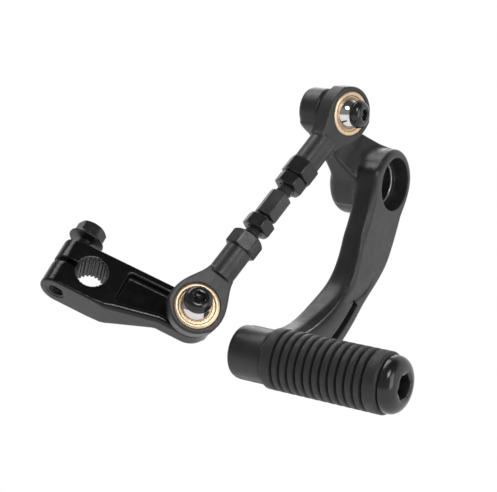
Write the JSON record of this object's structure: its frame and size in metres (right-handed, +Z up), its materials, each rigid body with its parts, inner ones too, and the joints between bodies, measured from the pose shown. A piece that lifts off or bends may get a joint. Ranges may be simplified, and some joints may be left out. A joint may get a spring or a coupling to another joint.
{
  "type": "motorcycle gear shift lever",
  "caption": "J-shaped foot lever with a pivot hub and ribbed rubber peg, linked by an adjustable ball-jointed rod to a splined clamp arm for a gear shaft.",
  "frame": {"origin": "centre of the pivot bore, halfway along it", "axes": "Y along the pivot, with the rubber peg towards -Y; +Z up as the assembly lies in its picture; the lever's arm reaches towards -X"},
  "size_m": [0.1329, 0.133, 0.1014],
  "materials": {
    "cast_finish": "satin",
    "bush_metal": "satin",
    "dark_steel": "satin",
    "rubber": "matte",
    "black_screw": "semi-gloss",
    "ball_chrome": "polished",
    "brass": "polished",
    "black_oxide": "semi-gloss",
    "gloss_black": "gloss"
  },
  "bodies": {
    "lever": {"pedal_lever": "cast_finish", "pivot_bush": "bush_metal", "peg_core": "dark_steel", "peg_rubber": "rubber", "peg_bolt": "black_screw", "upper_spacer": "dark_steel", "upper_washer": "dark_steel", "upper_ball_screw": "black_screw"},
    "upper_pivot_ball": {"upper_ball": "ball_chrome"},
    "upper_end": {"upper_rod_end": "black_oxide", "upper_liner": "brass", "upper_jam_nut": "black_oxide"},
    "link": {"link_rod": "black_oxide", "lower_jam_nut": "black_oxide"},
    "lower_end": {"lower_rod_end": "black_oxide", "lower_liner": "brass"},
    "lower_pivot_ball": {"lower_ball": "ball_chrome"},
    "shaft_arm": {"clamp_arm": "gloss_black", "lower_spacer": "dark_steel", "lower_washer": "dark_steel", "lower_ball_screw": "black_screw", "pinch_bolt": "black_oxide"}
  },
  "joints": [
    {"name": "upper_swing", "type": "hinge", "parent": "lever", "child": "upper_pivot_ball", "pos_m": [-0.025, -0.0033, 0.0308], "axis": [0, 1, 0], "range_deg": [0, 60]},
    {"name": "upper_tilt", "type": "hinge", "parent": "upper_pivot_ball", "child": "upper_end", "pos_m": [-0.025, -0.0033, 0.0308], "axis": [0.1046, 0, 0.9945], "range_deg": [-0.3, 7]},
    {"name": "upper_thread", "type": "slide", "parent": "upper_end", "child": "link", "axis": [-0.7378, 0.1943, -0.6465], "range_m": [-0.0028, 0.004]},
    {"name": "lower_thread", "type": "slide", "parent": "link", "child": "lower_end", "axis": [-0.7378, 0.1943, -0.6465], "range_m": [-0.0028, 0.004]},
    {"name": "lower_tilt", "type": "hinge", "parent": "lower_end", "child": "lower_pivot_ball", "pos_m": [-0.0945, 0.015, -0.0301], "axis": [-0.7332, 0.6786, 0.0434], "range_deg": [-29, 1.5]},
    {"name": "lower_swing", "type": "hinge", "parent": "lower_pivot_ball", "child": "shaft_arm", "pos_m": [-0.0945, 0.015, -0.0301], "axis": [-0.4743, -0.5561, 0.6825], "range_deg": [-45, 45]}
  ],
  "couplings": [
    {"joint": "lower_thread", "follows": "upper_thread", "ratio": 1}
  ]
}
